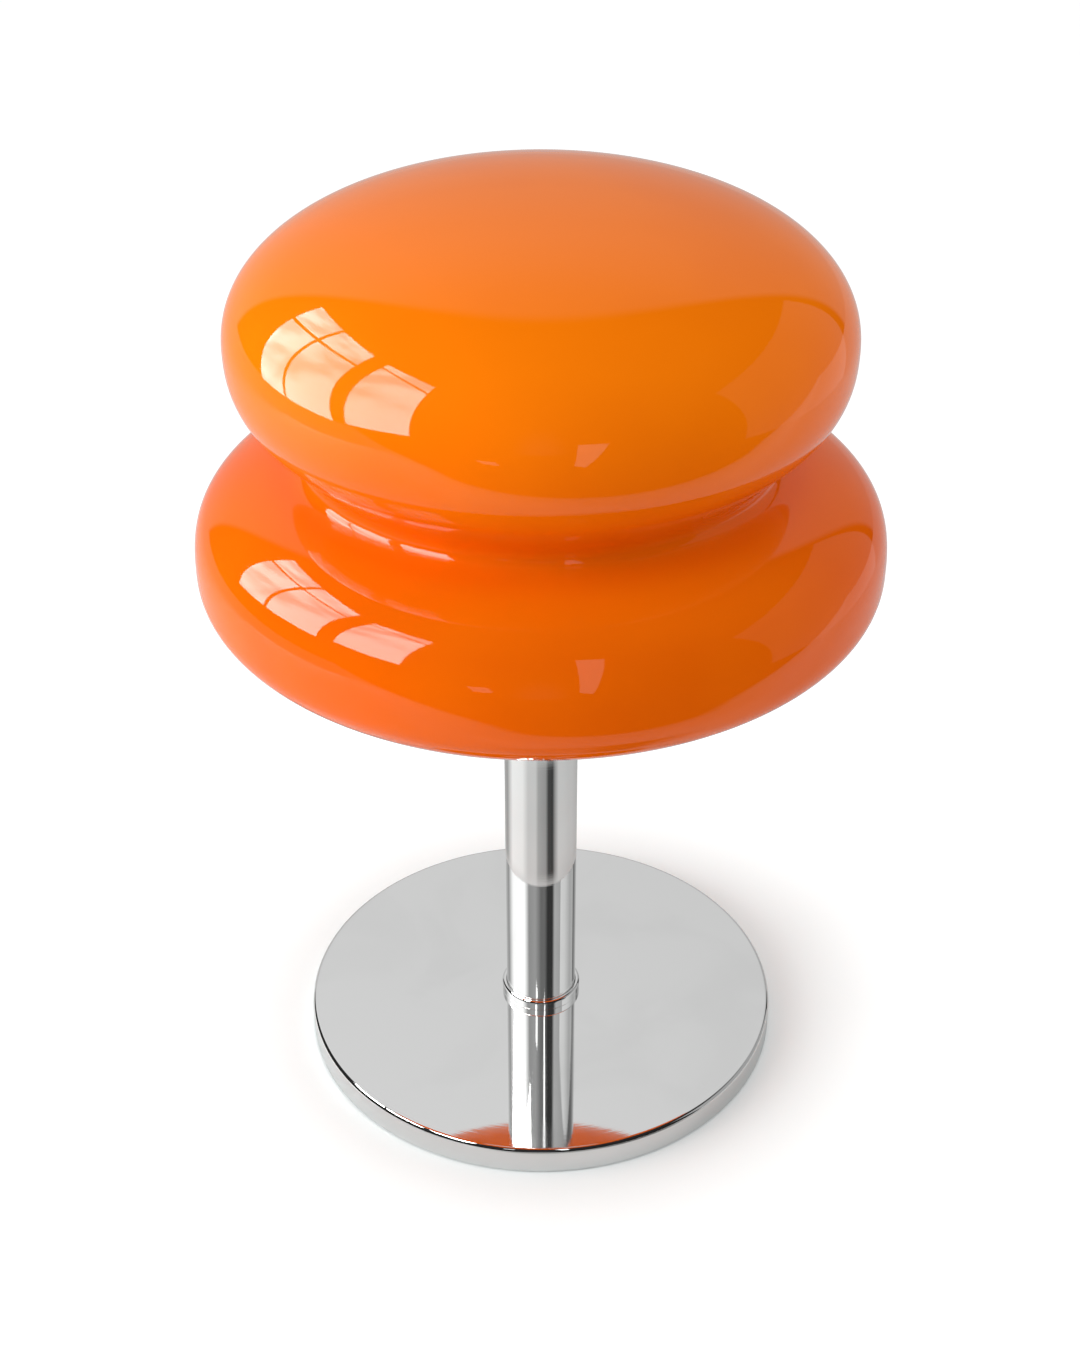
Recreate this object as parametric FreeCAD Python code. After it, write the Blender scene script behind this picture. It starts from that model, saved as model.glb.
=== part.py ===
"""Two-tier mushroom lamp: a blown, cased orange glass shade that rests on a plated stand.

A round weighted base carries a tube stem with a turned ring at its foot. A hollow threaded rod
runs through base and stem and clamps them together with a nut at each end. A gallery plate on
top of the stem carries the glass, and a collar brazed to it keeps the glass central. The glass is
lifted straight off, and the screw lampholder stands inside it.

Frame: millimetres, +Z up, origin on the floor at the centre of the base. -Y is the front and the
cord enters the base at the back, +Y.
"""

import FreeCAD
import Part
import math
import os

# ---------------------------------------------------------------- driving sizes, millimetres

# Base: a pressed cover over a cast weight, standing on a thin pad.
base_radius = 140.0
base_height = 17.0  # floor to the top face
base_edge_round = 2.5
cover_wall = 1.2
cover_lift = 1.0  # gap under the cover's skirt
pad_thickness = 1.5
pad_margin = 5.0  # the pad stays this far inside the cover's skirt
pocket_radius = 24.0  # hollow under the weight for nut and cord
pocket_roof = 12.8  # height of that hollow's roof over the floor
channel_width = 10.0  # cord channel from the pocket to the back
weight_chamfer = 2.5

# Cord inlet: a rubber grommet in the back of the cover's skirt.
inlet_height = 8.0
grommet_bore = 2.7
grommet_neck = 4.6
grommet_flange = 6.0
grommet_flange_thickness = 1.5
grommet_tail = 2.4  # length of its inner flange
grommet_edge_round = 0.7
notch_clearance = 1.0  # room around the inner flange in the weight

# Hollow threaded rod, its nuts, washers and end bushes.
rod_radius = 5.0
rod_bore = 4.0
rod_show = 0.3  # how far the rod's lower end stands out of its nut
rod_stand_up = 19.0  # upper end over the gallery plate
nut_across_flats = 14.0
nut_height = 3.0
nut_bevel_angle = 30.0
washer_radius = 12.0
washer_thickness = 1.5
lock_washer_radius = 8.6
lock_washer_thickness = 0.6
lock_washer_teeth = 8
lock_washer_gap = 1.7  # width of the gaps between teeth
bush_wall = 0.7
bush_flange = 0.8
bush_length = 7.0

# Stem: tube, ring at its foot, centring plugs at both ends.
stem_radius = 21.0
stem_wall = 1.5
stem_length = 256.5
plug_depth = 12.0
cap_flange = 3.0
foot_ring_radius = 23.6
foot_ring_height = 6.0
foot_ring_round = 1.6

# Gallery: the plate that carries the glass, and the collar on it that centres the mouth.
gallery_overlap = 8.0  # how far the plate reaches past the mouth's edge
gallery_thickness = 2.0
collar_height = 8.0  # over the plate
collar_wall = 2.0
gallery_edge_round = 0.8
collar_clearance = 2.0  # between collar and glass
gasket_thickness = 1.5
seat_gap = 0.3  # between gasket and glass

# Glass shade. Each half of a tier is a superellipse: radius, rise or drop, and power.
glass_wall = 3.5
mouth_radius = 50.0
lower_radius = 183.0
lower_drop = 50.5  # from the lower equator down to where the underside would close
lower_drop_power = 2.41
lower_rise = 62.0
lower_rise_power = 2.95
tier_spacing = 121.0  # between the two equators
upper_radius = 159.8
upper_drop = 69.5
upper_drop_power = 2.47
upper_rise = 73.4
upper_rise_power = 2.19
waist_upper_inset = 13.8  # from the upper tier's edge in to where its underside becomes the waist
waist_lower_inset = 47.0  # from the lower tier's edge in to where the waist has become its shoulder
waist_upper_pull = 24.0  # how far each end's tangent pulls the waist inwards
waist_lower_pull = 24.0
points_per_quarter = 11

# Lampholder with a 27 mm screw thread.
holder_lift = 7.5  # its cap's foot over the gallery plate
holder_foot_radius = 9.0
holder_waist_radius = 11.0
holder_waist_height = 5.0  # over the foot
holder_flare_height = 12.0  # over the foot, where the cap reaches its full radius
holder_radius = 20.5
holder_wall = 2.0
holder_cap_height = 20.0
holder_shell_height = 36.0
holder_shell_lap = 1.2  # how thin the shell is where the cap's rim laps into it
holder_rim_height = 2.0
holder_edge_round = 0.8
insert_flange = 2.0  # thickness of the insert's flange, clamped between rim and shell
insert_floor = 12.0
insert_wall = 3.0
insert_drop = 4.0  # how far the insert reaches down into the cap
screw_shell_wall = 0.5
screw_shell_height = 24.0
contact_height = 4.0
contact_width = 6.0
contact_strip = 0.6
contact_reach = 10.0  # from the axis to the fixed end of the strip
contact_knee = 6.0  # from the axis to where the strip leaves the deck
terminal_screw_radius = 2.4
terminal_head_radius = 3.6
terminal_head_height = 2.0
terminal_spacing = 18.0
terminal_slot_width = 0.9
terminal_slot_depth = 1.0
grub_screw_radius = 1.5
grub_screw_length = 4.5
grub_screw_height = 3.0  # of its axis over the cap's foot
grub_slot_width = 0.6
grub_slot_depth = 1.2

# Bulb with a 27 mm screw cap.
bulb_cap_radius = 13.1
bulb_cap_height = 22.0
bulb_cap_wall = 0.4
bulb_contact_radius = 4.8
bulb_contact_height = 2.0
bulb_contact_round = 1.0
bulb_insulator_height = 3.0
bulb_insulator_radius = 10.5
bulb_neck_radius = 14.0
bulb_neck_rise = 8.5  # height of the cone's steeper foot
bulb_body_height = 34.0
bulb_body_wall = 2.0
bulb_sleeve_depth = 6.5  # how far the cone's foot is crimped into the cap
bulb_radius = 30.0
bulb_globe_wall = 1.2
bulb_globe_dip = 20.0  # degrees below its widest circle at which the dome is cut off
led_board_thickness = 1.6
led_ledge = 1.2
led_count = 8
led_size = 3.2
led_height = 0.8
led_circle = 17.5

# Fits.
slip = 0.1  # radial clearance of parts that are pushed together
thread_clearance = 0.25  # radial, drawn between plain cylinders that stand for screw threads
running_gap = 0.3  # between the bulb and what it turns in

# ---------------------------------------------------------------- levels worked out from them

base_top = base_height
cover_underside = base_height - cover_wall
stem_top = base_top + stem_length
gallery_floor = stem_top + cap_flange
gallery_top = gallery_floor + gallery_thickness
gasket_top = gallery_top + gasket_thickness
glass_seat = gasket_top + seat_gap
collar_radius = mouth_radius - collar_clearance
gallery_radius = mouth_radius + gallery_overlap
waist_upper_radius = upper_radius - waist_upper_inset
waist_lower_radius = lower_radius - waist_lower_inset
rod_hole = rod_radius + slip
stem_bore = stem_radius - stem_wall
plug_radius = stem_bore - slip
rod_top = gallery_top + rod_stand_up
lower_nut_top = pocket_roof - washer_thickness - lock_washer_thickness
rod_bottom = lower_nut_top - nut_height - rod_show
holder_foot = gallery_top + holder_lift
holder_split = holder_foot + holder_cap_height
holder_top = holder_split + holder_shell_height
screw_shell_bore = bulb_cap_radius + thread_clearance
screw_shell_radius = screw_shell_bore + screw_shell_wall
insert_bore = screw_shell_radius + slip
insert_bottom = holder_split - insert_drop
insert_deck = insert_bottom + insert_floor
insert_top = insert_deck + screw_shell_height
insert_radius = insert_bore + insert_wall
holder_rim_top = holder_split + holder_rim_height
bulb_contact_bottom = insert_deck + contact_height + running_gap
bulb_insulator_bottom = bulb_contact_bottom + bulb_contact_height
bulb_cap_bottom = bulb_insulator_bottom + bulb_insulator_height
bulb_cap_top = bulb_cap_bottom + bulb_cap_height
bulb_shoulder = bulb_cap_top + bulb_body_height

UP = FreeCAD.Vector(0, 0, 1)
BACK = FreeCAD.Vector(0, 1, 0)
SIDE = FreeCAD.Vector(1, 0, 0)
ORIGIN = FreeCAD.Vector(0, 0, 0)


# ---------------------------------------------------------------- shapes used by many pieces


def revolved(points):
    """A solid of revolution about Z from its outline: (radius, height) corners in order."""
    corners = [FreeCAD.Vector(r, 0, z) for r, z in points]
    return Part.Face(Part.makePolygon(corners + corners[:1])).revolve(ORIGIN, UP, 360)


def ring(inner, outer, bottom, top):
    """A plain ring or washer."""
    return revolved([(inner, bottom), (outer, bottom), (outer, top), (inner, top)])


def disc(radius, bottom, top, x=0.0, y=0.0):
    """An upright cylinder."""
    return Part.makeCylinder(radius, top - bottom, FreeCAD.Vector(x, y, bottom))


def block(x_span, y_span, z_span):
    """A box from its three spans."""
    corner = FreeCAD.Vector(x_span[0], y_span[0], z_span[0])
    return Part.makeBox(x_span[1] - x_span[0], y_span[1] - y_span[0], z_span[1] - z_span[0], corner)


def hex_nut(bottom, top):
    """A thin hexagon nut for the rod, its corners bevelled; the thread is a plain bore."""
    corner_radius = nut_across_flats / math.sqrt(3)
    corners = [
        FreeCAD.Vector(corner_radius * math.cos(a), corner_radius * math.sin(a), bottom)
        for a in (math.radians(60 * k) for k in range(7))
    ]
    body = Part.Face(Part.makePolygon(corners)).extrude(UP * (top - bottom))
    bevel = corner_radius - nut_across_flats / 2
    drop = bevel * math.tan(math.radians(nut_bevel_angle))
    bevelled = revolved(
        [(0, bottom), (corner_radius - bevel, bottom), (corner_radius, bottom + drop),
         (corner_radius, top - drop), (corner_radius - bevel, top), (0, top)]
    )
    return body.common(bevelled).cut(disc(rod_hole, bottom, top))


def edges_at(shape, height, radius):
    """The round edges of a shape at one height and radius."""
    found = []
    for edge in shape.Edges:
        if not isinstance(edge.Curve, Part.Circle):
            continue
        if abs(edge.Curve.Radius - radius) < 1e-6 and abs(edge.Curve.Center.z - height) < 1e-6:
            found.append(edge)
    return found


def export(name, shape):
    """Writes one piece, checked to be closed and valid."""
    if not shape.isValid() or shape.Volume <= 0:
        raise ValueError(name + " is not a valid solid")
    shape.exportStep(os.path.join("parts", name + ".step"))


# ---------------------------------------------------------------- base


def base_pad():
    return disc(base_radius - pad_margin, 0, pad_thickness)


def base_cover():
    """A shallow pressed pan, open downwards, with a rounded upper edge."""
    pan = disc(base_radius, cover_lift, base_top)
    pan = pan.makeFillet(base_edge_round, edges_at(pan, base_top, base_radius))
    inner_radius = base_radius - cover_wall
    inner_round = base_edge_round - cover_wall
    hollow = disc(inner_radius, cover_lift, cover_underside)
    hollow = hollow.makeFillet(inner_round, edges_at(hollow, cover_underside, inner_radius))
    inlet_axis = FreeCAD.Vector(0, base_radius - 2 * cover_wall - grommet_neck, inlet_height)
    inlet = Part.makeCylinder(grommet_neck, 4 * grommet_neck, inlet_axis, BACK)
    return pan.cut(hollow).cut(disc(rod_hole, cover_underside, base_top)).cut(inlet)


def base_weight():
    """Cast iron, with a pocket for the nut and a channel for the cord, both open downwards."""
    outer = base_radius - cover_wall - slip
    body = revolved(
        [(0, pad_thickness), (outer, pad_thickness), (outer, cover_underside - weight_chamfer),
         (outer - weight_chamfer, cover_underside), (0, cover_underside)]
    )
    half = channel_width / 2
    notch = grommet_flange + notch_clearance
    notch_start = base_radius - cover_wall - grommet_tail - notch_clearance
    cuts = [
        disc(rod_hole, pad_thickness, cover_underside),
        disc(pocket_radius, pad_thickness, pocket_roof),
        block((-half, half), (0, base_radius), (pad_thickness, pocket_roof)),
        block((-notch, notch), (notch_start, base_radius), (pad_thickness, base_top)),
    ]
    return body.cut(cuts)


def cord_grommet(cover):
    """Rubber bush in the skirt, grooved around the wall; its flanges follow the curved wall."""
    flange_face = base_radius + grommet_flange_thickness
    tail_face = base_radius - cover_wall - grommet_tail
    start = FreeCAD.Vector(0, tail_face, inlet_height)
    body = Part.makeCylinder(grommet_flange, flange_face - tail_face, start, BACK)
    bore = Part.makeCylinder(grommet_bore, flange_face - tail_face, start, BACK)
    rim = [e for e in body.Edges if isinstance(e.Curve, Part.Circle) and e.Curve.Center.y > base_radius]
    body = body.makeFillet(grommet_edge_round, rim)
    return body.cut(bore).cut(cover)


# ---------------------------------------------------------------- rod, nuts and washers


def tie_rod():
    return ring(rod_bore, rod_radius, rod_bottom, rod_top)


def rod_bush(end, outward):
    """Plastic bush that keeps the cord off the rod's sharp end. outward is +1 up or -1 down."""
    outer = rod_bore - slip
    inner = outer - bush_wall
    face = end + outward * bush_flange
    deep = end - outward * bush_length
    return revolved(
        [(inner, face), (rod_radius, face), (rod_radius, end), (outer, end), (outer, deep), (inner, deep)]
    )


def lock_washer(bottom, top):
    """Spring steel washer with teeth around its edge."""
    root = (rod_hole + lock_washer_radius) / 2
    half = lock_washer_gap / 2
    gaps = []
    for k in range(lock_washer_teeth):
        gap = block((root, lock_washer_radius + half), (-half, half), (bottom, top))
        gap.rotate(ORIGIN, UP, 360 * k / lock_washer_teeth)
        gaps.append(gap)
    return ring(rod_hole, lock_washer_radius, bottom, top).cut(gaps)


# ---------------------------------------------------------------- stem


def stem_tube():
    return ring(stem_bore, stem_radius, base_top, stem_top)


def foot_ring():
    """Turned ring round the foot of the tube, its upper edge rolled over."""
    top = base_top + foot_ring_height
    body = ring(stem_radius + slip, foot_ring_radius, base_top, top)
    return body.makeFillet(foot_ring_round, edges_at(body, top, foot_ring_radius))


def foot_plug():
    """Centres the tube on the rod at the base."""
    return ring(rod_hole, plug_radius, base_top, base_top + plug_depth)


def stem_cap():
    """Closes and centres the tube at the top; the gallery stands on its flange."""
    return revolved(
        [(rod_hole, stem_top - plug_depth), (plug_radius, stem_top - plug_depth), (plug_radius, stem_top),
         (stem_radius, stem_top), (stem_radius, gallery_floor), (rod_hole, gallery_floor)]
    )


# ---------------------------------------------------------------- gallery


def gallery():
    """Flat plate that the glass stands on, its lower edge rounded."""
    plate = ring(rod_hole, gallery_radius, gallery_floor, gallery_top)
    return plate.makeFillet(gallery_edge_round, edges_at(plate, gallery_floor, gallery_radius))


def gallery_collar():
    """Upright collar brazed to the plate, which stands inside the mouth of the glass."""
    top = gallery_top + collar_height
    body = ring(collar_radius - collar_wall, collar_radius, gallery_top, top)
    return body.makeFillet(gallery_edge_round, edges_at(body, top, collar_radius))


def gallery_gasket():
    return ring(collar_radius + slip, gallery_radius - slip, gallery_top, gasket_top)


# ---------------------------------------------------------------- glass shade


def superellipse(radius, centre, rise, power, start, stop):
    """Points of a quarter superellipse: radius * cos(t)^(2/power), centre + rise * sin(t)^(2/power)."""
    points = []
    for k in range(points_per_quarter):
        t = start + (stop - start) * k / (points_per_quarter - 1)
        r = radius * max(math.cos(t), 0.0) ** (2 / power)
        z = centre + rise * max(math.sin(t), 0.0) ** (2 / power)
        points.append((r, z))
    return points


def angle_at(radius, power, wanted):
    """The parameter t at which a superellipse quarter has the wanted radius."""
    return math.acos((wanted / radius) ** (power / 2))


def slope_at(radius, rise, power, t):
    """Unit tangent of the quarter at t, in the direction of falling t."""
    dr = radius * (2 / power) * math.cos(t) ** (2 / power - 1) * math.sin(t)
    dz = -rise * (2 / power) * math.sin(t) ** (2 / power - 1) * math.cos(t)
    size = math.hypot(dr, dz)
    return dr / size, dz / size


def bezier(p0, p1, p2, p3, count):
    """Points inside a cubic curve, without its two ends."""
    points = []
    for k in range(1, count):
        t = k / count
        a, b, c, d = (1 - t) ** 3, 3 * t * (1 - t) ** 2, 3 * t * t * (1 - t), t**3
        points.append(tuple(a * u + b * v + c * w + d * x for u, v, w, x in zip(p0, p1, p2, p3)))
    return points


def shade_outline():
    """The outer outline from the crown to the mouth, as (radius, height) points."""
    mouth_share = (mouth_radius + glass_wall / 2) / lower_radius
    mouth_drop = lower_drop * (1 - mouth_share**lower_drop_power) ** (1 / lower_drop_power)
    lower_equator = glass_seat + mouth_drop
    upper_equator = lower_equator + tier_spacing
    quarter = math.pi / 2

    crown = superellipse(upper_radius, upper_equator, upper_rise, upper_rise_power, quarter, 0)
    t_under = angle_at(upper_radius, upper_drop_power, waist_upper_radius)
    under = superellipse(upper_radius, upper_equator, -upper_drop, upper_drop_power, 0, t_under)
    t_shoulder = angle_at(lower_radius, lower_rise_power, waist_lower_radius)
    shoulder = superellipse(lower_radius, lower_equator, lower_rise, lower_rise_power, t_shoulder, 0)
    t_mouth = angle_at(lower_radius, lower_drop_power, mouth_radius + glass_wall / 2)
    belly = superellipse(lower_radius, lower_equator, -lower_drop, lower_drop_power, 0, t_mouth)

    enter = slope_at(upper_radius, -upper_drop, upper_drop_power, t_under)
    leave = slope_at(lower_radius, lower_rise, lower_rise_power, t_shoulder)
    start, end = under[-1], shoulder[0]
    first = (start[0] - enter[0] * waist_upper_pull, start[1] - enter[1] * waist_upper_pull)
    second = (end[0] - leave[0] * waist_lower_pull, end[1] - leave[1] * waist_lower_pull)
    waist = bezier(start, first, second, end, points_per_quarter)
    return crown + under[1:] + waist + shoulder + belly[1:]


def offset_inwards(points, distance):
    """The outline moved square to itself towards the hollow side."""
    moved = []
    for k, (r, z) in enumerate(points):
        before = points[max(k - 1, 0)]
        after = points[min(k + 1, len(points) - 1)]
        dr, dz = after[0] - before[0], after[1] - before[1]
        if k == 0:
            dr, dz = 1.0, 0.0
        if k == len(points) - 1:
            dr, dz = -1.0, 0.0
        size = math.hypot(dr, dz)
        moved.append((r + dz / size * distance, z - dr / size * distance))
    return moved


def spline(points, start_tangent, end_tangent):
    """A smooth curve through (radius, height) points with given end directions."""
    curve = Part.BSplineCurve()
    curve.interpolate(
        Points=[FreeCAD.Vector(r, 0, z) for r, z in points],
        InitialTangent=FreeCAD.Vector(start_tangent, 0, 0),
        FinalTangent=FreeCAD.Vector(end_tangent, 0, 0),
    )
    return curve


def shade():
    """Blown glass of even wall, closed at the crown, with a fire-polished round lip at the mouth."""
    outside = shade_outline()
    inside = offset_inwards(outside, glass_wall)
    lip_middle = FreeCAD.Vector(mouth_radius, 0, (outside[-1][1] + inside[-1][1]) / 2)
    outer_curve = spline(outside, 1, -1)
    inner_curve = spline(inside[::-1], 1, -1)
    lip = Part.Arc(
        FreeCAD.Vector(outside[-1][0], 0, outside[-1][1]),
        lip_middle,
        FreeCAD.Vector(inside[-1][0], 0, inside[-1][1]),
    )
    crown = Part.LineSegment(FreeCAD.Vector(0, 0, inside[0][1]), FreeCAD.Vector(0, 0, outside[0][1]))
    wire = Part.Wire([c.toShape() for c in (outer_curve, lip, inner_curve, crown)])
    return Part.Face(wire).revolve(ORIGIN, UP, 360)


# ---------------------------------------------------------------- lampholder


def holder_cap():
    """Lower half of the lampholder's housing, screwed on to the rod; its rim laps into the shell."""
    rim = holder_radius - holder_shell_lap - slip
    inner = holder_radius - holder_wall - slip
    waist = holder_foot + holder_waist_height
    flare = holder_foot + holder_flare_height
    body = revolved(
        [(rod_hole, holder_foot), (holder_foot_radius, holder_foot), (holder_waist_radius, waist),
         (holder_radius, flare), (holder_radius, holder_split), (rim, holder_split),
         (rim, holder_rim_top), (inner, holder_rim_top), (inner, flare + holder_wall),
         (holder_waist_radius - holder_wall, waist + holder_wall), (rod_hole, waist + holder_wall)]
    )
    start = FreeCAD.Vector(0, 0, holder_foot + grub_screw_height)
    return body.cut(Part.makeCylinder(grub_screw_radius + slip, holder_radius, start, SIDE))


def holder_grub_screw():
    """Locks the cap to the rod; its slot is cut across its outer end."""
    middle = holder_foot + grub_screw_height
    screw = Part.makeCylinder(
        grub_screw_radius, grub_screw_length, FreeCAD.Vector(rod_radius, 0, middle), SIDE
    )
    end = rod_radius + grub_screw_length
    half = grub_slot_width / 2
    across = 2 * grub_screw_radius
    slot = block((end - grub_slot_depth, end), (-across, across), (middle - half, middle + half))
    return screw.cut(slot)


def holder_shell():
    """Upper half of the housing, a smooth sleeve around the screw thread."""
    inner = holder_radius - holder_wall
    lap = holder_radius - holder_shell_lap
    lap_top = holder_rim_top + insert_flange + slip
    body = revolved(
        [(lap, holder_split), (holder_radius, holder_split), (holder_radius, holder_top), (inner, holder_top),
         (inner, lap_top), (lap, lap_top)]
    )
    return body.makeFillet(holder_edge_round, edges_at(body, holder_top, holder_radius))


def holder_insert():
    """Glazed ceramic core that carries the contacts; its flange is clamped between cap and shell."""
    flange = holder_radius - holder_shell_lap - slip
    flange_top = holder_rim_top + insert_flange
    body = revolved(
        [(0, insert_bottom), (insert_radius, insert_bottom), (insert_radius, holder_rim_top),
         (flange, holder_rim_top), (flange, flange_top), (insert_radius, flange_top),
         (insert_radius, insert_top), (insert_bore, insert_top), (insert_bore, insert_deck), (0, insert_deck)]
    )
    hole = terminal_screw_radius + slip
    wells = [disc(hole, insert_bottom, insert_deck - insert_wall, x) for x in terminal_places()]
    return body.cut(wells)


def terminal_places():
    """X of the two terminal screws."""
    return (-terminal_spacing / 2, terminal_spacing / 2)


def holder_terminal_screws():
    """Two cheese-head screws in the underside of the insert, slotted."""
    screws = []
    head_bottom = insert_bottom - terminal_head_height
    half = terminal_slot_width / 2
    for x in terminal_places():
        across = (x - terminal_head_radius, x + terminal_head_radius)
        head = disc(terminal_head_radius, head_bottom, insert_bottom, x)
        slot = block(across, (-half, half), (head_bottom, head_bottom + terminal_slot_depth))
        shank = disc(terminal_screw_radius, insert_bottom, insert_deck - insert_wall, x)
        screws.append(head.cut(slot).fuse(shank).removeSplitter())
    return Part.makeCompound(screws)


def holder_screw_shell():
    """Pressed sleeve with the 27 mm thread, drawn plain at its clearance size."""
    return ring(screw_shell_bore, screw_shell_radius, insert_deck, insert_top)


def holder_centre_contact():
    """Sprung brass tongue: its fixed end lies on the deck and its free end rises under the bulb."""
    half = contact_width / 2
    deck = insert_deck
    top = insert_deck + contact_height
    strip = contact_strip
    outline = [
        (-contact_reach, deck), (-contact_knee, deck), (-half, top - strip), (half, top - strip),
        (half, top), (-half - strip / 2, top), (-contact_knee - strip / 2, deck + strip),
        (-contact_reach, deck + strip),
    ]
    corners = [FreeCAD.Vector(x, -half, z) for x, z in outline]
    return Part.Face(Part.makePolygon(corners + corners[:1])).extrude(BACK * contact_width)


# ---------------------------------------------------------------- bulb


def bulb_contact():
    top = bulb_contact_bottom + bulb_contact_height
    body = disc(bulb_contact_radius, bulb_contact_bottom, top)
    return body.makeFillet(bulb_contact_round, edges_at(body, bulb_contact_bottom, bulb_contact_radius))


def bulb_insulator():
    """Dark glass cone between the centre contact and the screw cap."""
    return revolved(
        [(0, bulb_insulator_bottom), (bulb_contact_radius, bulb_insulator_bottom),
         (bulb_insulator_radius, bulb_cap_bottom), (0, bulb_cap_bottom)]
    )


def bulb_cap():
    """Thin screw cap, closed by the insulator below and drawn plain at its thread's crest."""
    inner = bulb_cap_radius - bulb_cap_wall
    floor = bulb_cap_bottom + bulb_cap_wall
    flare = bulb_cap_radius - bulb_insulator_radius
    return revolved(
        [(0, bulb_cap_bottom), (bulb_insulator_radius, bulb_cap_bottom),
         (bulb_cap_radius, bulb_cap_bottom + flare), (bulb_cap_radius, bulb_cap_top),
         (inner, bulb_cap_top), (inner, floor + flare), (inner - flare, floor), (0, floor)]
    )


def bulb_body():
    """White plastic cone, crimped in the cap at its foot, with a ledge for the light board at its rim."""
    wall = bulb_body_wall
    foot = bulb_cap_radius - bulb_cap_wall - slip
    sleeve_bottom = bulb_cap_top - bulb_sleeve_depth
    neck_top = bulb_cap_top + bulb_neck_rise
    outer = bulb_radius - bulb_globe_wall
    mouth = outer - wall
    ledge = bulb_shoulder - led_board_thickness
    return revolved(
        [(foot - wall, sleeve_bottom), (foot, sleeve_bottom), (foot, bulb_cap_top),
         (bulb_neck_radius, bulb_cap_top), (bulb_neck_radius + wall, neck_top), (outer, bulb_shoulder),
         (mouth, bulb_shoulder), (mouth, ledge), (mouth - led_ledge, ledge),
         (bulb_neck_radius, neck_top + wall), (foot - wall, bulb_cap_top + wall)]
    )


def bulb_led_board():
    """Round aluminium board with a ring of light chips."""
    radius = bulb_radius - bulb_globe_wall - bulb_body_wall - slip
    board = disc(radius, bulb_shoulder - led_board_thickness, bulb_shoulder)
    half = led_size / 2
    height = (bulb_shoulder, bulb_shoulder + led_height)
    chips = []
    for k in range(led_count):
        chip = block((led_circle - half, led_circle + half), (-half, half), height)
        chip.rotate(ORIGIN, UP, 360 * k / led_count)
        chips.append(chip)
    return board.fuse(chips).removeSplitter()


def bulb_globe():
    """Frosted dome, a little more than a half sphere, standing on the cone's rim."""
    outer_angle = math.radians(bulb_globe_dip)
    centre = bulb_shoulder + bulb_radius * math.sin(outer_angle)
    inner_radius = bulb_radius - bulb_globe_wall
    inner_angle = math.asin((centre - bulb_shoulder) / inner_radius)

    def arc(radius, angle):
        points = [
            FreeCAD.Vector(radius * math.cos(a), 0, centre + radius * math.sin(a))
            for a in (-angle, math.pi / 6, math.pi / 2)
        ]
        return Part.Arc(*points), points[0], points[2]

    outer, outer_foot, outer_top = arc(bulb_radius, outer_angle)
    inner, inner_foot, inner_top = arc(inner_radius, inner_angle)
    wire = Part.Wire(
        [outer.toShape(), Part.LineSegment(outer_top, inner_top).toShape(), inner.toShape(),
         Part.LineSegment(inner_foot, outer_foot).toShape()]
    )
    return Part.Face(wire).revolve(ORIGIN, UP, 360)


# ---------------------------------------------------------------- assembly


def main():
    os.makedirs("parts", exist_ok=True)
    cover = base_cover()
    lower_lock_top = pocket_roof - washer_thickness
    upper_washer_top = gallery_top + washer_thickness
    pieces = {
        "base_pad": base_pad(),
        "base_weight": base_weight(),
        "base_cover": cover,
        "cord_grommet": cord_grommet(cover),
        "tie_rod": tie_rod(),
        "lower_washer": ring(rod_hole, washer_radius, lower_lock_top, pocket_roof),
        "lower_lock_washer": lock_washer(lower_nut_top, lower_lock_top),
        "lower_nut": hex_nut(lower_nut_top - nut_height, lower_nut_top),
        "lower_rod_bush": rod_bush(rod_bottom, -1),
        "foot_ring": foot_ring(),
        "foot_plug": foot_plug(),
        "stem_tube": stem_tube(),
        "stem_cap": stem_cap(),
        "gallery": gallery(),
        "gallery_collar": gallery_collar(),
        "gallery_gasket": gallery_gasket(),
        "upper_washer": ring(rod_hole, washer_radius, gallery_top, upper_washer_top),
        "upper_nut": hex_nut(upper_washer_top, upper_washer_top + nut_height),
        "upper_rod_bush": rod_bush(rod_top, 1),
        "holder_cap": holder_cap(),
        "holder_grub_screw": holder_grub_screw(),
        "holder_shell": holder_shell(),
        "holder_insert": holder_insert(),
        "holder_terminal_screws": holder_terminal_screws(),
        "holder_screw_shell": holder_screw_shell(),
        "holder_centre_contact": holder_centre_contact(),
        "bulb_contact": bulb_contact(),
        "bulb_insulator": bulb_insulator(),
        "bulb_cap": bulb_cap(),
        "bulb_body": bulb_body(),
        "bulb_led_board": bulb_led_board(),
        "bulb_globe": bulb_globe(),
        "shade": shade(),
    }
    for name, shape in pieces.items():
        export(name, shape)
    print("overall height %.1f mm" % pieces["shade"].BoundBox.ZMax)


main()
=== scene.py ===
"""Two-tier mushroom lamp: the looks of every piece, in the order in which the lamp is put together."""

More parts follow.
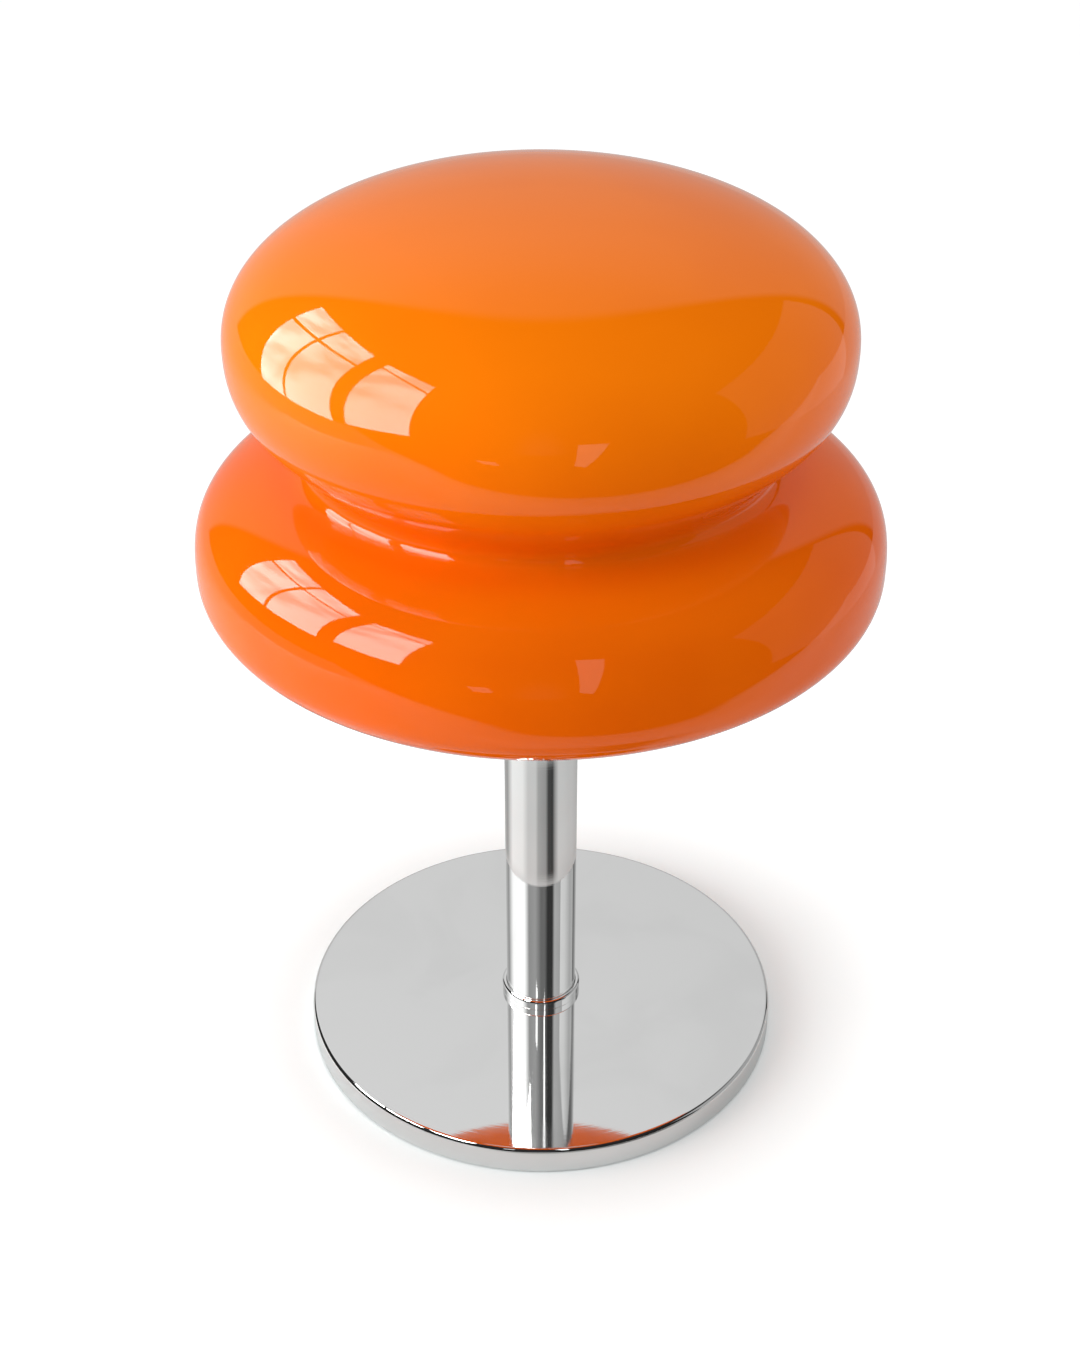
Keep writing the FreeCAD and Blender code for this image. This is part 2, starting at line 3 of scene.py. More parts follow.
import math
import bpy
import numpy as np
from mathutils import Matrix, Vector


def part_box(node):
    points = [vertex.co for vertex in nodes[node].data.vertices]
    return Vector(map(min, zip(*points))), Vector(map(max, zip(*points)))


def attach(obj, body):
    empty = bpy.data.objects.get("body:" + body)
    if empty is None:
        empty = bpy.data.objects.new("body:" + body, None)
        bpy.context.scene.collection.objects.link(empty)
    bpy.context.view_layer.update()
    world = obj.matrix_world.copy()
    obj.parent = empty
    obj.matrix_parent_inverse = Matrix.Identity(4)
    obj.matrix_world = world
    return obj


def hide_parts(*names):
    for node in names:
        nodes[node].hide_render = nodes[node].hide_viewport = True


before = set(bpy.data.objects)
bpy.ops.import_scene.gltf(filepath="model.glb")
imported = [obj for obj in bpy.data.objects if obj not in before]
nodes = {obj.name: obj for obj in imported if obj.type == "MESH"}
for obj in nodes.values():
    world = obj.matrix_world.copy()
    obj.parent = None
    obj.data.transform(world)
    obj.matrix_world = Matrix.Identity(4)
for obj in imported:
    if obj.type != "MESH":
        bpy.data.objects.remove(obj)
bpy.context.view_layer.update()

# ================================================================ camera
# A product camera a little above the lamp, looking down at it, as a buyer would stand and look.
# Its film is 36 mm on the long side, and a hair of shift puts the stem in its place.

camera_distance = 0.9685
camera_height = 0.8705
camera_pitch = 32.88
camera_lens = 55.13
camera_film = 36
camera_shift = -0.0007

camera = bpy.data.objects.new("camera", bpy.data.cameras.new("camera"))
camera.location = (0, -camera_distance, camera_height)
camera.rotation_euler = (math.radians(90 - camera_pitch), 0, 0)
camera.data.lens = camera_lens
camera.data.sensor_width = camera_film
camera.data.shift_x = camera_shift
camera.data.clip_start = 0.01
bpy.context.scene.collection.objects.link(camera)
bpy.context.scene.camera = camera
bpy.context.scene.view_settings.view_transform = "Standard"

# ================================================================ studio
# A white floor before a white sweep, with a dark room in front. The glass and plating mirror two
# windows at the left, two small far lights and a faint white screen at the right.


def place(tree, kind, sockets=None, **settings):
    """Adds a node, gives it its settings, and fills its inputs: a socket is linked, a value is set."""
    made = tree.nodes.new(kind)
    for key, value in settings.items():
        setattr(made, key, value)
    for key, value in (sockets or {}).items():
        if isinstance(value, bpy.types.NodeSocket):
            tree.links.new(value, made.inputs[key])
        else:
            made.inputs[key].default_value = value
    return made


def sum_of(tree, first, second, operation="ADD"):
    """One Math node, given back as its output socket."""
    return place(tree, "ShaderNodeMath", {0: first, 1: second}, operation=operation).outputs[0]


def soft_step(tree, value, low, high, bottom=0.0, top=1.0):
    """Rises smoothly from bottom to top while value goes from low to high."""
    sockets = {"Value": value, "From Min": low, "From Max": high, "To Min": bottom, "To Max": top}
    made = place(tree, "ShaderNodeMapRange", sockets, interpolation_type="SMOOTHSTEP")
    return made.outputs["Result"]


def shades(tree, value, stops):
    """A grey ramp over a value from 0 to 1: each stop is a place and a brightness."""
    made = place(tree, "ShaderNodeValToRGB", {0: value})
    for step, (at, grey) in enumerate(stops):
        stop = made.color_ramp.elements[step] if step < 2 else made.color_ramp.elements.new(at)
        stop.position, stop.color = at, (grey, grey, grey, 1)
    return made.outputs["Color"]


def length_squared(tree, where):
    """X squared plus Y squared."""
    aside, ahead = where.outputs["X"], where.outputs["Y"]
    return sum_of(tree, sum_of(tree, aside, aside, "MULTIPLY"), sum_of(tree, ahead, ahead, "MULTIPLY"))


def round_about(tree, where, stops):
    """A grey ramp over the bearing from the lamp: degrees run from 0 at the front up to the right."""
    front = sum_of(tree, where.outputs["Y"], -1.0, "MULTIPLY")
    bearing = sum_of(tree, where.outputs["X"], front, "ARCTAN2")
    turn = place(tree, "ShaderNodeMath", {0: bearing, 1: 1 / (2 * math.pi), 2: 0.5}, operation="MULTIPLY_ADD")
    return shades(tree, turn.outputs[0], [(0.5 + degrees / 360, grey) for degrees, grey in stops])


def new_material(name):
    """An empty node material and its tree."""
    material = bpy.data.materials.new(name)
    material.use_nodes = True
    material.node_tree.nodes.clear()
    return material, material.node_tree


def shaded(tree, shader):
    """Joins a shader to the material's output."""
    place(tree, "ShaderNodeOutputMaterial", {"Surface": shader.outputs[0]})


def plain_mesh(name, points, faces):
    """A mesh object at the origin from arrays of points and faces."""
    mesh = bpy.data.meshes.new(name)
    mesh.from_pydata(np.asarray(points).tolist(), [], np.asarray(faces).tolist())
    made = bpy.data.objects.new(name, mesh)
    bpy.context.scene.collection.objects.link(made)
    return made


# For glossy rays alone the floor wears painted shade that the plating mirrors: darker beside the
# base, then patchy by the bearing, then fading towards the front. Each reach is a pair of distances
# between which one gives way to the next. The paper has a little less red near the lamp, which paints
# out the glass's orange light on it, and for the camera alone it is lifted to white away from the base.
floor_half = 9.0
floor_drop = 0.0001
floor_white = 0.86
painted_rim_shade = 0.76
rim_reach = (0.15, 0.175)
near_reach = (0.16, 0.30)
near_gain = (1.1, 1.0)
far_reach = (0.29, 0.33)
front_slant = 0.4
painted_front_shade = ((0.28, 0.72), (0.42, 1.0), (0.60, 0.85), (0.645, 0.03))
painted_bearing_shade = (
    (-180, 0.60), (-128, 0.36), (-98, 0.90), (-58, 0.86), (-40, 0.60), (-16, 0.62), (-8, 0.40), (14, 0.34),
    (22, 0.07), (36, 0.05), (43, 0.33), (55, 0.66), (112, 0.67), (150, 0.52), (180, 0.60))
lift_reach = (0.14, 0.24)
lift_range = (0.14, 0.37)
cool_reach = (0.28, 0.5)
cool_red = (0.945, 1.0)

square = np.array([(-1, -1), (1, -1), (1, 1), (-1, 1)]) * floor_half
floor = plain_mesh("floor", np.c_[square, np.full(4, -floor_drop)], [(0, 1, 2, 3)])
material, tree = new_material("floor")
where = place(tree, "ShaderNodeSeparateXYZ", {0: place(tree, "ShaderNodeTexCoord").outputs["Object"]})
aside = sum_of(tree, where.outputs["X"], front_slant, "MULTIPLY")
ahead = sum_of(tree, aside, where.outputs["Y"], "SUBTRACT")
radius = sum_of(tree, length_squared(tree, where), 0.5, "POWER")
far = soft_step(tree, radius, *far_reach)
around = sum_of(
    tree, round_about(tree, where, painted_bearing_shade), soft_step(tree, radius, *near_reach, *near_gain), "MULTIPLY")
near = place(tree, "ShaderNodeMix", {0: soft_step(tree, radius, *rim_reach), 2: painted_rim_shade, 3: around})
fade = place(tree, "ShaderNodeMix", {0: far, 2: near.outputs[0], 3: shades(tree, ahead, painted_front_shade)})
path = place(tree, "ShaderNodeLightPath")
# glossy rays see the painted shade, all other rays the plain paper
seen = place(tree, "ShaderNodeMix", {0: path.outputs["Is Glossy Ray"], 2: floor_white, 3: fade.outputs[0]})
# the lift is smaller near the base, which leaves painted shade round it for the camera
raised = soft_step(tree, radius, *lift_reach, *lift_range)
lift = sum_of(tree, path.outputs["Is Camera Ray"], raised, "MULTIPLY")
# red taken out near the lamp paints out the orange light that the glass throws on the paper
cool = place(tree, "ShaderNodeCombineXYZ", {
    "X": sum_of(tree, seen.outputs[0], soft_step(tree, radius, *cool_reach, *cool_red), "MULTIPLY"),
    "Y": seen.outputs[0], "Z": seen.outputs[0]})
paper = place(tree, "ShaderNodeBsdfDiffuse", {"Color": cool.outputs[0]})
glow = place(tree, "ShaderNodeEmission", {"Strength": lift})
shaded(tree, place(tree, "ShaderNodeAddShader", {0: paper.outputs[0], 1: glow.outputs[0]}))
floor.data.materials.append(material)

# The sweep is an ellipse of directions behind the lamp. A second reflection, such as the stem in
# the disc, sees second_look by the bearing.
sweep_half_width = 0.95
sweep_height = 2.75
sweep_edge = (-0.04, 0.05)
sweep_white = 0.90
sweep_slant = -0.25
sweep_climb = ((0.30, 0.66), (0.50, 0.80), (0.60, 0.94), (0.72, 1.0), (0.88, 0.86))
room_light = 0.92
room_dark = 0.03
second_bounce = 2.5
second_look = (
    (-180, 0.60), (-131, 0.26), (-104, 0.95), (-56, 1.0), (-40, 0.26), (-19, 0.30), (0, 0.13), (12, 0.13),
    (22, 0.03), (38, 0.03), (46, 0.38), (85, 0.29), (110, 0.08), (132, 0.12), (180, 0.60))
second_light = 1.7

world = bpy.data.worlds.new("studio")
bpy.context.scene.world = world
world.use_nodes = True
tree = world.node_tree
tree.nodes.clear()
way = place(tree, "ShaderNodeSeparateXYZ", {0: place(tree, "ShaderNodeTexCoord").outputs["Generated"]})
wide = sum_of(tree, sum_of(tree, way.outputs["X"], 1 / sweep_half_width, "MULTIPLY"), 2.0, "POWER")
tall = sum_of(tree, sum_of(tree, way.outputs["Z"], 1 / sweep_height, "MULTIPLY"), 2.0, "POWER")
deep = sum_of(tree, way.outputs["Y"], 0.0, "MAXIMUM")
inside = sum_of(tree, sum_of(tree, deep, deep, "MULTIPLY"), sum_of(tree, wide, tall), "SUBTRACT")
sweep = soft_step(tree, inside, *sweep_edge, room_dark, sweep_white)
slant = place(tree, "ShaderNodeMath", {0: way.outputs["X"], 1: sweep_slant, 2: 1.0}, operation="MULTIPLY_ADD")
climb = shades(tree, way.outputs["Z"], sweep_climb)
mirrored = sum_of(tree, sum_of(tree, sweep, slant.outputs[0], "MULTIPLY"), climb, "MULTIPLY")
path = place(tree, "ShaderNodeLightPath")
shiny = sum_of(tree, path.outputs["Is Glossy Ray"], path.outputs["Is Transmission Ray"], "MAXIMUM")
twice = sum_of(tree, path.outputs["Ray Depth"], second_bounce, "GREATER_THAN")
again = sum_of(tree, round_about(tree, way, second_look), second_light, "MULTIPLY")
seen = place(tree, "ShaderNodeMix", {0: twice, 2: mirrored, 3: again})
dull = place(tree, "ShaderNodeMix", {0: shiny, 2: room_light, 3: seen.outputs[0]})
level = place(tree, "ShaderNodeMix", {0: path.outputs["Is Camera Ray"], 2: dull.outputs[0], 3: 1.0})
sky = place(tree, "ShaderNodeBackground", {"Strength": level.outputs[0]})
place(tree, "ShaderNodeOutputWorld", {"Surface": sky.outputs[0]})

pane_light = 14.5
cloud_scale = 5.0
pane_cloud = (0.35, 0.62, 0.6 * pane_light, 1.1 * pane_light)
left_window = np.array([
    (-0.515, 0.048, 0.439), (-0.847, 0.605, 1.296), (-0.735, -0.048, 1.355), (-0.334, -0.199, 0.448)])
right_window = np.array([
    (-0.293, -0.215, 0.457), (-0.738, -0.169, 1.411), (-0.272, -0.299, 0.876), (-0.260, -0.352, 0.488)])
bar = 0.02
post = 0.5
left_rail = 0.55
right_rail = 0.8


def panes(corners, across, upward):
    """Four-cornered panes: point (u, v) mixes the corners, u along the sill and v up the frame."""
    low, high = corners[0], corners[1]
    far_high, far_low = corners[2], corners[3]
    points = []
    for u0, u1 in across:
        for v0, v1 in upward:
            u, v = np.array([[u0, u1, u1, u0], [v0, v0, v1, v1]])[:, :, None]
            points.append((1 - v) * ((1 - u) * low + u * far_low) + v * ((1 - u) * high + u * far_high))
    return np.concatenate(points)


points = np.concatenate([
    panes(left_window, ((0, post - bar), (post + bar, 1)), ((0, left_rail - bar), (left_rail + bar, 1))),
    panes(right_window, ((0, 1),), ((0, right_rail - bar), (right_rail + bar, 1))),
])
window = plain_mesh("window_panes", points, np.arange(len(points)).reshape(-1, 4))
material, tree = new_material("daylight")
spot = place(tree, "ShaderNodeTexCoord").outputs["Object"]
cloud = place(tree, "ShaderNodeTexNoise", {"Vector": spot, "Scale": cloud_scale, "Detail": 2.0})
shaded(tree, place(tree, "ShaderNodeEmission", {"Strength": soft_step(tree, cloud.outputs[0], *pane_cloud)}))
window.data.materials.append(material)
window.visible_camera = window.visible_diffuse = window.visible_shadow = False

glint_light = 2.0
glints = np.array([
    (-0.122, -0.389, 0.404), (-0.084, -0.389, 0.404), (-0.084, -0.431, 0.374), (-0.122, -0.431, 0.374),
    (0.035, -0.244, 0.479), (0.066, -0.242, 0.478), (0.090, -0.417, 0.365), (0.066, -0.418, 0.379)])
far_glints = plain_mesh("far_glints", glints, np.arange(len(glints)).reshape(-1, 4))
material, tree = new_material("far_light")
shaded(tree, place(tree, "ShaderNodeEmission", {"Strength": glint_light}))
far_glints.data.materials.append(material)
far_glints.visible_camera = far_glints.visible_diffuse = far_glints.visible_shadow = False


def soft_light(name, place_at, aim_at, size, power, mirrored=False):
    """A square soft box that faces the point it lights."""
    lamp = bpy.data.lights.new(name, "AREA")
    lamp.shape = "SQUARE"
    lamp.size = size
    lamp.energy = power
    made = bpy.data.objects.new(name, lamp)
    bpy.context.scene.collection.objects.link(made)
    made.location = place_at
    away = np.array(place_at) - np.array(aim_at)
    made.rotation_euler = (
        math.atan2(math.hypot(away[0], away[1]), away[2]), 0, math.atan2(away[0], -away[1]))
    made.visible_camera = False
    made.visible_glossy = mirrored
    return made


glass_middle = (0, 0, 0.35)
soft_light("high_window", (-1.2, -0.75, 1.25), glass_middle, 0.9, 6.0)
soft_light("low_window", (-1.35, -0.36, 0.5), glass_middle, 1.0, 12.5)
soft_light("right_screen", (1.15, 0.15, 0.55), glass_middle, 1.3, 2.0, mirrored=True)

# ================================================================ pad under the base
# A disc of thin closed-cell foam, die cut and stuck under the weight. It keeps the iron off the
# floor and hides the nut. Its cells show as fine pits.

grain_span = (0.3, 0.7)
smear_span = (0.42, 0.72)
scratch_span = (0.66, 0.72)
scratch_stretch = (1, 14, 3)
scratch_turn = (0.5, 0.3, 0.7)


def grain_group():
    """Fine, even unevenness: a value about 0.5 for colour and roughness, and a height for bumps."""
    group = bpy.data.node_groups.new("fine_grain", "ShaderNodeTree")
    for label, kind, value in (("Scale", "NodeSocketFloat", 400.0), ("Detail", "NodeSocketFloat", 4.0),
                               ("Stretch", "NodeSocketVector", (1, 1, 1))):
        socket = group.interface.new_socket(label, in_out="INPUT", socket_type=kind)
        socket.default_value = value
    group.interface.new_socket("Value", in_out="OUTPUT", socket_type="NodeSocketFloat")
    group.interface.new_socket("Height", in_out="OUTPUT", socket_type="NodeSocketFloat")
    given = place(group, "NodeGroupInput")
    spot = place(group, "ShaderNodeTexCoord").outputs["Object"]
    stretched = place(
        group, "ShaderNodeVectorMath", {0: spot, 1: given.outputs["Stretch"]}, operation="MULTIPLY")
    noise = place(group, "ShaderNodeTexNoise", {
        "Vector": stretched.outputs[0], "Scale": given.outputs["Scale"], "Detail": given.outputs["Detail"]})
    place(group, "NodeGroupOutput", {
        "Value": noise.outputs[0], "Height": soft_step(group, noise.outputs[0], *grain_span)})
    return group


def marks_group():
    """Signs of handling: wide soft smears and thin broken scratches, each a mask from 0 to 1."""
    group = bpy.data.node_groups.new("handling_marks", "ShaderNodeTree")
    for label, value in (("Smear Scale", 18.0), ("Scratch Scale", 90.0)):
        socket = group.interface.new_socket(label, in_out="INPUT", socket_type="NodeSocketFloat")
        socket.default_value = value
    group.interface.new_socket("Smears", in_out="OUTPUT", socket_type="NodeSocketFloat")
    group.interface.new_socket("Scratches", in_out="OUTPUT", socket_type="NodeSocketFloat")
    given = place(group, "NodeGroupInput")
    spot = place(group, "ShaderNodeTexCoord").outputs["Object"]
    wide = place(group, "ShaderNodeTexNoise", {
        "Vector": spot, "Scale": given.outputs["Smear Scale"], "Detail": 3.0, "Distortion": 0.6})
    turned_round = place(group, "ShaderNodeMapping", {
        "Vector": spot, "Rotation": scratch_turn, "Scale": scratch_stretch})
    thin = place(group, "ShaderNodeTexNoise", {
        "Vector": turned_round.outputs[0], "Scale": given.outputs["Scratch Scale"], "Detail": 2.0})
    place(group, "NodeGroupOutput", {
        "Smears": soft_step(group, wide.outputs[0], *smear_span),
        "Scratches": soft_step(group, thin.outputs[0], *scratch_span)})
    return group


grain = grain_group()
marks = marks_group()


def between(tree, mask, first, second):
    """A colour that goes from first to second as the mask goes from 0 to 1."""
    mixed = place(tree, "ShaderNodeMix", {0: mask, 6: (*first, 1), 7: (*second, 1)}, data_type="RGBA")
    return mixed.outputs[2]


def bumped(tree, height, depth, distance=0.001):
    """A normal pushed about by a height, with its depth in parts of the distance."""
    sockets = {"Height": height, "Strength": depth, "Distance": distance}
    return place(tree, "ShaderNodeBump", sockets).outputs[0]


def finish(
        name, first, second, scale, rough, depth, metallic=0.0, detail=4.0, stretch=(1, 1, 1), coat=0.0):
    """A worked surface: two colours mixed by a fine grain, roughness that follows the grain and the
    smears, and a bump."""
    material, tree = new_material(name)
    fine = place(tree, "ShaderNodeGroup", node_tree=grain)
    fine.inputs["Scale"].default_value = scale
    fine.inputs["Detail"].default_value = detail
    fine.inputs["Stretch"].default_value = stretch
    worn = place(tree, "ShaderNodeGroup", node_tree=marks)
    low, high = rough
    evenly = soft_step(tree, fine.outputs["Value"], *grain_span, low, (low + high) / 2)
    smeared = sum_of(tree, worn.outputs["Smears"], (high - low) / 2, "MULTIPLY")
    shaded(tree, place(tree, "ShaderNodeBsdfPrincipled", {
        "Base Color": between(tree, fine.outputs["Height"], first, second),
        "Roughness": sum_of(tree, evenly, smeared), "Metallic": metallic,
        "Normal": bumped(tree, fine.outputs["Height"], depth), "Coat Weight": coat}))
    return material


def dress(material, *names):
    """Gives CAD nodes that keep their own shape their finish."""
    for name in names:
        nodes[name].data.materials.clear()
        nodes[name].data.materials.append(material)


foam = finish("closed_cell_foam", (0.016, 0.016, 0.017), (0.035, 0.035, 0.037), 1800, (0.80, 0.95), 0.5)
dress(foam, "base_pad")

# ================================================================ weight in the base
# Grey iron, cast in sand and dipped in dark primer. It has a pocket for the nut and a channel for
# the cord, and holds the tall glass upright. The sand leaves a coarse skin under the primer.

iron = finish(
    "primed_cast_iron", (0.018, 0.018, 0.020), (0.045, 0.044, 0.042), 700, (0.55, 0.85), 0.9, detail=8.0)
dress(iron, "base_weight")

# ================================================================ mirror-plated cover
# A pressed steel pan over the weight, open below, with a rounded upper edge. It is polished and
# plated with bright chrome, and years of dusting leave a few hair lines and soft smears.


def rounded(corners, radii, steps=6):
    """Walks a closed outline with the solid on its left and rounds each corner with an arc.
    On an arc the normal turns evenly, and the point lies one radius from the arc's centre along it."""
    corners = np.asarray(corners, float)
    points, normals = [], []
    count = len(corners)
    for k, radius in enumerate(radii):
        into = corners[k] - corners[k - 1]
        onward = corners[(k + 1) % count] - corners[k]
        into, onward = into / np.linalg.norm(into), onward / np.linalg.norm(onward)
        turn = math.atan2(into[0] * onward[1] - into[1] * onward[0], into @ onward)
        angles = math.atan2(-into[0], into[1]) + turn * np.linspace(0, 1, steps + 1)
        normal = np.c_[np.cos(angles), np.sin(angles)]
        start = corners[k] - into * radius * math.tan(abs(turn) / 2)
        centre = start - normal[0] * radius * np.sign(turn)
        points.append(centre + normal * radius * np.sign(turn))
        normals.append(normal)
    return np.concatenate(points), np.concatenate(normals)


def turned(name, outline, normals, closed=True, steps=192):
    """A surface of revolution about Z: grid point (i, j) is the outline's i-th radius and height turned to
    the j-th angle, and its normal is turned with it. A row on the axis becomes one point."""
    radius, height = outline.T
    angle = 2 * np.pi * np.arange(steps) / steps
    ones = np.ones(steps)
    points = np.stack(
        [radius[:, None] * np.cos(angle), radius[:, None] * np.sin(angle), height[:, None] * ones], -1)
    lean = np.stack(
        [normals[:, :1] * np.cos(angle), normals[:, :1] * np.sin(angle), normals[:, 1:] * ones], -1)
    return grid_piece(name, points, lean, closed, pole=radius < 1e-9)


def grid_piece(name, points, lean, closed, pole=None):
    """A mesh from a grid whose second way goes once round: each cell is a face, its corners in the order
    (i, j), (i, j+1), (i+1, j+1), (i+1, j), which faces outwards. The given normals shade it."""
    rows, steps = points.shape[:2]
    i, j = np.meshgrid(np.arange(rows if closed else rows - 1), np.arange(steps), indexing="ij")
    k, l = (i + 1) % rows, (j + 1) % steps
    index = np.arange(rows * steps).reshape(rows, steps)
    if pole is not None:
        index[pole] = index[pole][:, :1]
    cells = np.stack([index[i, j], index[i, l], index[k, l], index[k, j]], -1).reshape(-1, 4)
    used, cells = np.unique(cells, return_inverse=True)
    cells = cells.reshape(-1, 4)
    top = cells[:, 2] == cells[:, 3]
    bottom = cells[:, 0] == cells[:, 1]
    faces = cells[~(top | bottom)].tolist() + cells[top][:, :3].tolist() + cells[bottom][:, 1:].tolist()
    mesh = bpy.data.meshes.new(name)
    mesh.from_pydata(points.reshape(-1, 3)[used].tolist(), [], faces)
    mesh.shade_smooth()
    if lean is not None:
        mesh.normals_split_custom_set_from_vertices(lean.reshape(-1, 3)[used].tolist())
    made = bpy.data.objects.new(name, mesh)
    bpy.context.scene.collection.objects.link(made)
    return made


def fit(piece, material, slot, body, *replaced):
    """Finishes a piece: its material, the body that it rides on and the CAD nodes that it stands for."""
    piece.data.materials.append(material)
    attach(piece, body)
    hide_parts(*replaced)
    return piece


plate_grey = (0.87, 0.873, 0.87)
smear_tint = 0.96
smear_scale = 14.0
hair_scale = 60.0
hair_share = 0.8
line_height = 0.0001


def plating(name, rough, smear, line_depth, line_scale, colour):
    """Bright plating: a mirror whose roughness rises in smears and hair scratches, over faint polishing lines
    that run round the axis, because they depend only on the radius and the height."""
    material, tree = new_material(name)
    worn = place(tree, "ShaderNodeGroup", node_tree=marks)
    worn.inputs["Smear Scale"].default_value = smear_scale
    worn.inputs["Scratch Scale"].default_value = hair_scale
    where = place(tree, "ShaderNodeSeparateXYZ", {0: place(tree, "ShaderNodeTexCoord").outputs["Object"]})
    radius = sum_of(tree, length_squared(tree, where), 0.5, "POWER")
    ring = place(tree, "ShaderNodeCombineXYZ", {"X": radius, "Y": where.outputs["Z"]})
    lines = place(tree, "ShaderNodeTexNoise", {"Vector": ring.outputs[0], "Scale": line_scale, "Detail": 3.0})
    smears = sum_of(tree, worn.outputs["Smears"], smear, "MULTIPLY")
    hair = sum_of(tree, worn.outputs["Scratches"], smear * hair_share, "MULTIPLY")
    total = sum_of(tree, sum_of(tree, smears, hair), rough)
    darker = tuple(smear_tint * part for part in colour)
    shaded(tree, place(tree, "ShaderNodeBsdfPrincipled", {
        "Base Color": between(tree, worn.outputs["Smears"], colour, darker), "Metallic": 1.0,
        "Roughness": total, "Normal": bumped(tree, lines.outputs[0], line_depth, line_height)}))
    return material


def pierced(piece, radius, wall):
    """The same cover with the cord's round hole in the back of its skirt. In each face of the wall, the
    cells of a short window give way to a fan: from each side of the window to its part of the circle."""
    mesh = piece.data
    points = np.empty(len(mesh.vertices) * 3, np.float32)
    lean = np.empty(len(mesh.loops) * 3, np.float32)
    cells = np.empty(len(mesh.loops), np.int32)
    mesh.vertices.foreach_get("co", points)
    mesh.corner_normals.foreach_get("vector", lean)
    mesh.loops.foreach_get("vertex_index", cells)
    points = points.reshape(-1, 3).astype(float)
    normals = np.zeros_like(points)
    normals[cells] = lean.reshape(-1, 3)
    cells = cells.reshape(-1, 4)
    behind = np.abs(np.arctan2(points[:, 0], points[:, 1])) < inlet_window
    faces, holes = [], []
    for reach, side in ((radius, 1), (radius - wall, -1)):
        on_wall = np.abs(np.hypot(points[:, 0], points[:, 1]) - reach) < 1e-6
        window = np.flatnonzero(on_wall[:len(behind)] & behind)
        cells = cells[~np.isin(cells, window).all(axis=1)]
        way = np.arctan2(points[window, 2] - inlet_height, points[window, 0])
        window, way = window[np.argsort(way)], np.sort(way)
        turn = np.diff(np.r_[way, way[0] + 2 * np.pi])
        fine = (way[:, None] + turn[:, None] * np.arange(arc_parts) / arc_parts).ravel()
        x, z = inlet_radius * np.cos(fine), inlet_radius * np.sin(fine)
        hole = len(points) + np.arange(len(fine))
        points = np.concatenate([points, np.c_[x, np.sqrt(reach**2 - x**2), inlet_height + z]])
        normals = np.concatenate([normals, side * np.c_[x, np.sqrt(reach**2 - x**2), 0 * x] / reach])
        part = hole[(arc_parts * np.arange(len(window))[:, None] + np.arange(arc_parts + 1)) % len(fine)]
        fan = np.c_[part, np.roll(window, -1), window]
        faces += fan[:, ::side].tolist()
        holes.append(hole)
    outer, inner = holes
    faces += cells.tolist() + np.c_[inner, np.roll(inner, -1), np.roll(outer, -1), outer].tolist()
    mesh.clear_geometry()
    mesh.from_pydata(points.tolist(), [], faces)
    mesh.shade_smooth()
    mesh.normals_split_custom_set_from_vertices(normals.tolist())
    return piece


MM = 0.001
inlet_window = math.radians(5)
inlet_height = 8.0 * MM
inlet_radius = 4.6 * MM
arc_parts = 4
cover_low, cover_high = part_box("base_cover")
cover_radius = cover_high.x
cover_wall = 1.2 * MM
cover_round = 2.5 * MM
rod_hole = 5.1 * MM
broken_edge = 0.2 * MM

chrome = plating("chrome_plate", 0.025, 0.03, 0.04, 900, plate_grey)
outline = rounded(
    [(rod_hole, cover_high.z - cover_wall), (cover_radius - cover_wall, cover_high.z - cover_wall),
     (cover_radius - cover_wall, cover_low.z), (cover_radius, cover_low.z),
     (cover_radius, cover_high.z), (rod_hole, cover_high.z)],
    [broken_edge, cover_round - cover_wall, 0.3 * MM, 0.3 * MM, cover_round, broken_edge], steps=10)
cover = turned("mirror_cover", *outline, steps=256)
fit(pierced(cover, cover_radius, cover_wall), chrome, "chrome", "stand", "base_cover")

# ================================================================ cord inlet
# A moulded rubber bush, sprung into the hole in the back of the cover, saves the cord from the edge.

rubber = finish("moulded_rubber", (0.012, 0.012, 0.012), (0.024, 0.024, 0.024), 900, (0.50, 0.70), 0.25)
dress(rubber, "cord_grommet")

# ================================================================ threaded rod, nuts, washers and bushes
# A hollow steel rod, threaded from end to end, clamps base, stem and gallery between two thin nuts.
# All of it is zinc plated. Plastic bushes in its ends keep the cord off the sharp bore.

rod_low, rod_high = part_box("tie_rod")
rod_radius = 5.0 * MM
rod_bore = 4.0 * MM
rod_pitch = 1.0 * MM
rod_thread = 0.5 * MM
rod_steps = 24
rod_rows = 6


def threaded(name, low, high, bore, crest, depth, pitch, steps, rows_a_turn, shape):
    """A hollow threaded rod. The outer radius at height z and angle a is the crest less the depth times
    the thread's shape at the phase z / pitch - a / (2 pi), so the groove climbs one pitch a turn."""
    rows = int(round((high - low) / pitch * rows_a_turn))
    height = np.linspace(low, high, rows + 1)
    angle = 2 * np.pi * np.arange(steps) / steps
    phase = height[:, None] / pitch - angle / (2 * np.pi)
    radius = crest - depth * shape(phase)
    run_out = np.clip(np.minimum(height - low, high - height) / pitch, 0, 1)[:, None]
    radius = (crest - depth) + (radius - crest + depth) * run_out
    outer = np.stack([radius * np.cos(angle), radius * np.sin(angle), height[:, None] + 0 * angle], -1)
    ends = np.array([high, low])[:, None] + 0 * angle
    inner = np.stack([bore * np.cos(angle) + 0 * ends, bore * np.sin(angle) + 0 * ends, ends], -1)
    return grid_piece(name, np.concatenate([outer, inner]), None, closed=True)


def sharp_thread(phase):
    """A V groove with flattened crest and root: a triangle wave, stretched and cut off."""
    return np.clip(1.25 * np.abs(2 * (phase % 1) - 1) - 0.125, 0, 1)


def sharpen(piece, degrees):
    """Marks edges that fold by more than the angle as sharp, so that flats stay flat."""
    piece.data.set_sharp_from_angle(angle=math.radians(degrees))
    return piece


